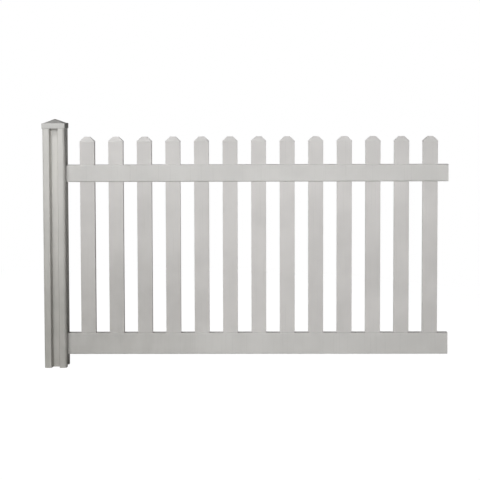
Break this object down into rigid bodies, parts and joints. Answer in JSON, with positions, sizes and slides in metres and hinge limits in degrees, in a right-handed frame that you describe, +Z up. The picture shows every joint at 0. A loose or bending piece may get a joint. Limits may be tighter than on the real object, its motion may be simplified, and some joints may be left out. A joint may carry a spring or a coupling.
{
  "type": "picket fence panel",
  "caption": "White plastic picket fence panel: square fluted post with a pyramid cap, two hollow rails, and flat dog-eared pickets standing through them.",
  "frame": {"origin": "on the post's axis at ground level, in the plane of the post's foot", "axes": "+X runs along the fence from the post, +Y to the back, +Z up; the front faces -Y"},
  "size_m": [1.8172, 0.104, 1.1195],
  "materials": {
    "post": "satin white rigid plastic",
    "cap": "satin white rigid plastic",
    "rail": "satin white rigid plastic",
    "picket": "satin white rigid plastic",
    "picket_cap": "satin white rigid plastic"
  },
  "bodies": {
    "root": {"post": "post", "post_cap": "cap", "top_rail": "rail", "bottom_rail": "rail", "picket_01": "picket", "picket_cap_01": "picket_cap", "picket_02": "picket", "picket_cap_02": "picket_cap", "picket_03": "picket", "picket_cap_03": "picket_cap", "picket_04": "picket", "picket_cap_04": "picket_cap", "picket_05": "picket", "picket_cap_05": "picket_cap", "picket_06": "picket", "picket_cap_06": "picket_cap", "picket_07": "picket", "picket_cap_07": "picket_cap", "picket_08": "picket", "picket_cap_08": "picket_cap", "picket_09": "picket", "picket_cap_09": "picket_cap", "picket_10": "picket", "picket_cap_10": "picket_cap", "picket_11": "picket", "picket_cap_11": "picket_cap", "picket_12": "picket", "picket_cap_12": "picket_cap", "picket_13": "picket", "picket_cap_13": "picket_cap"}
  },
  "joints": []
}
